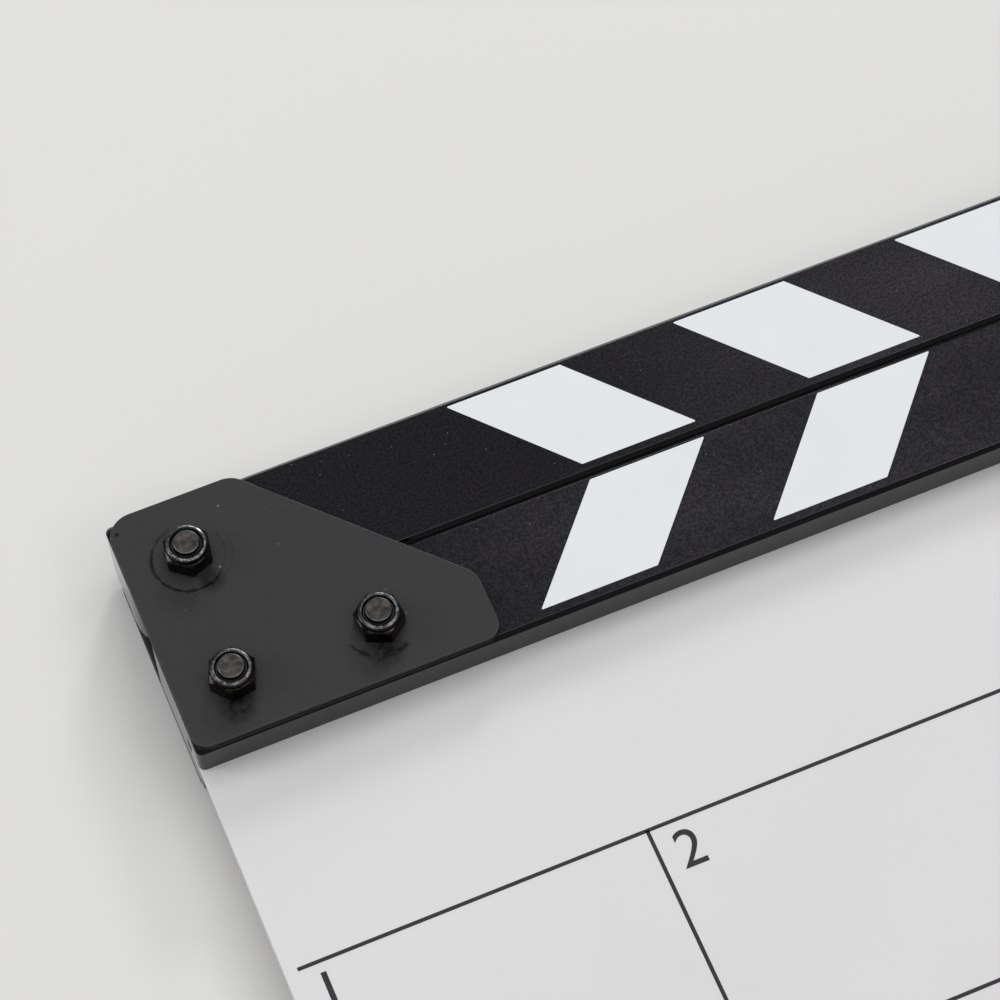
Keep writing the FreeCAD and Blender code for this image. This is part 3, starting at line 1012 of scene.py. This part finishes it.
def make_insert(name):
    """The locking ring inside a nut's collar."""
    low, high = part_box(INSERT_NODES[name])
    profile = [
        (NUT_BORE_RADIUS, low.z),
        (INSERT_RADIUS, low.z),
        (INSERT_RADIUS, high.z),
        (NUT_BORE_RADIUS + INSERT_EDGE, high.z),
        (NUT_BORE_RADIUS, high.z - INSERT_EDGE),
    ]
    shape = turned(profile, closed=True)
    bmesh.ops.translate(shape, verts=shape.verts, vec=bolt_place(name))
    soften(stand_for(INSERT_NODES[name], shape, [insert_nylon]))


def thread_ridge():
    """The thread's ridge, wound round a bolt's core and running out at both ends."""
    count = round(THREAD_LENGTH / THREAD_PITCH * THREAD_STEPS)
    root = thread_core - THREAD_DEPTH
    foot_half = THREAD_PITCH * THREAD_FOOT_SHARE
    crest_half = THREAD_PITCH * THREAD_CREST_SHARE
    loops = []
    for step in range(count + 1):
        angle = FULL_TURN * step / THREAD_STEPS
        height = thread_start + THREAD_PITCH * step / THREAD_STEPS
        fade = min(1.0, step / THREAD_STEPS, (count - step) / THREAD_STEPS)
        crest = thread_core + THREAD_DEPTH * fade
        section = ((root, -foot_half), (crest, -crest_half), (crest, crest_half), (root, foot_half))
        loops.append([around(angle, radius, height + rise) for radius, rise in section])
    return skin(loops)


def socket_edge(height, widening=0.0):
    """An edge of the hexagon socket in a bolt's head, as a step of a turned profile."""
    return lambda angle: (hexagon_reach(SOCKET_FLATS, angle) + widening, height)


def bolt_profile():
    """A countersunk bolt's section, from the foot of its hexagon socket to the dish in its end."""
    band_foot = tip_foot - BOLT_TIP_BAND
    return [
        socket_edge(SOCKET_DEPTH),
        socket_edge(HEAD_EDGE),
        socket_edge(0, widening=HEAD_EDGE),
        (head_radius - HEAD_EDGE, 0),
        (head_radius, HEAD_EDGE),
        (head_radius, HEAD_LAND),
        (BOLT_RADIUS, HEAD_LAND + head_radius - BOLT_RADIUS),
        (BOLT_RADIUS, thread_start),
        (thread_core, thread_start + THREAD_DEPTH),
        (thread_core, band_foot),
        (BOLT_RADIUS, band_foot),
        (BOLT_RADIUS, tip_foot),
        (BOLT_TIP_RADIUS, bolt_length - BOLT_END_DROP),
        (BOLT_END_RADIUS, bolt_length),
        (END_DISH_RADIUS, bolt_length),
        (END_DISH_FOOT, bolt_length - END_DISH_DEPTH),
    ]


def make_bolt(name):
    """A countersunk bolt, threaded where the nut holds it, with a painted highlight: the bevel ring round
    its end is lighter steel than the end.
    """
    shape = turned(bolt_profile())
    add_mesh(shape, as_mesh("ridge", thread_ridge()))
    bmesh.ops.translate(shape, verts=shape.verts, vec=bolt_place(name))
    piece = stand_for(BOLT_NODES[name], shape, [dull_steel, bolt_end, painted_bolt_rim_highlight])
    soften(piece)
    end_level = bolt_length - BOLT_END_DROP
    axis = bolt_place(name)

    def choose(face):
        if face.center.z < end_level:
            return dull_steel
        return painted_bolt_rim_highlight if (face.center - axis).xy.length > BOLT_END_RADIUS else bolt_end

    paint(piece, choose)


make_sticks()
make_stripes("lower_stick", lower_low, lower_high, lower_high.y - LOWER_STRIPE_INSET, -1, "slate")
make_stripes("upper_stick", upper_low, upper_high, upper_low.y + UPPER_STRIPE_INSET, 1, "clapper")
make_board()
make_print()
for plate in plate_faces:
    make_plate(plate)
for fixing in FIXINGS:
    make_nut(fixing)
    make_insert(fixing)
    make_bolt(fixing)


# Floor, light and camera

FLOOR_REACH = 6.0
FLOOR_DROP = 0.0002

# Lamps: direction from the slate, size, and power in watts
LAMP_DISTANCE = 2.4
LAMPS = {
    "right_window": ((0.43, 0.74, 0.52), 0.45, 11.5),
    "left_window": ((-0.82, 0.34, 0.50), 0.9, 11.5),
    "back_window": ((0.18, 0.86, 0.47), 0.4, 4.5),
    "ceiling": ((0.08, -0.02, 1.0), 3.2, 36.5),
    "front_right": ((0.32, -0.52, 0.80), 0.22, 1.0),
    "front_left": ((-0.58, -0.18, 0.80), 0.22, 1.0),
}
WORLD_COLOUR = (0.98, 0.99, 1.0, 1)
WORLD_STRENGTH = 0.22

# Camera: yaw from +Y towards +X, drop below level, tilt about the line of sight. Its lens and sensor are
# in millimetres.
CAMERA_PLACE = (-0.1948, -0.2494, 0.7360)
CAMERA_YAW = math.radians(20.40)
CAMERA_DROP = math.radians(62.63)
CAMERA_TILT = math.radians(-2.47)
LENS = 129.6
SENSOR_WIDTH = 36


def make_floor():
    """A plain pale floor under the slate."""
    shape = bmesh.new()
    bmesh.ops.create_grid(shape, x_segments=1, y_segments=1, size=FLOOR_REACH)
    floor = add_object("floor", as_mesh("floor", shape))
    floor.data.materials.append(pale_floor())
    floor.location.z = -FLOOR_DROP


def make_lamp(name, direction, size, power):
    """A square soft box that faces the slate from a direction."""
    data = bpy.data.lights.new(name, "AREA")
    data.size = size
    data.energy = power
    lamp = add_object(name, data)
    lamp.location = Vector(direction).normalized() * LAMP_DISTANCE
    lamp.rotation_mode = "QUATERNION"
    lamp.rotation_quaternion = Vector(direction).to_track_quat("Z", "Y")


def make_world():
    """An even light from all round."""
    world = bpy.data.worlds.new("studio")
    world.use_nodes = True
    background = world.node_tree.nodes["Background"]
    background.inputs["Color"].default_value = WORLD_COLOUR
    background.inputs["Strength"].default_value = WORLD_STRENGTH
    scene.world = world


def make_camera():
    """The camera of the photograph, found from the slate's own straight edges."""
    level = Vector((math.cos(CAMERA_YAW), -math.sin(CAMERA_YAW), 0))
    forward = Vector((math.sin(CAMERA_YAW), math.cos(CAMERA_YAW), 0))
    ahead = forward * math.cos(CAMERA_DROP) - Vector((0, 0, math.sin(CAMERA_DROP)))
    above = level.cross(ahead)
    right = level * math.cos(CAMERA_TILT) + above * math.sin(CAMERA_TILT)
    up = above * math.cos(CAMERA_TILT) - level * math.sin(CAMERA_TILT)
    data = bpy.data.cameras.new("camera")
    data.sensor_width = SENSOR_WIDTH
    data.lens = LENS
    camera = add_object("camera", data)
    turn = Matrix((right, up, -ahead)).transposed().to_4x4()
    camera.matrix_world = Matrix.Translation(CAMERA_PLACE) @ turn
    scene.camera = camera


make_floor()
for lamp_name, lamp_values in LAMPS.items():
    make_lamp(lamp_name, *lamp_values)
make_world()
make_camera()
scene.view_settings.view_transform = "Standard"
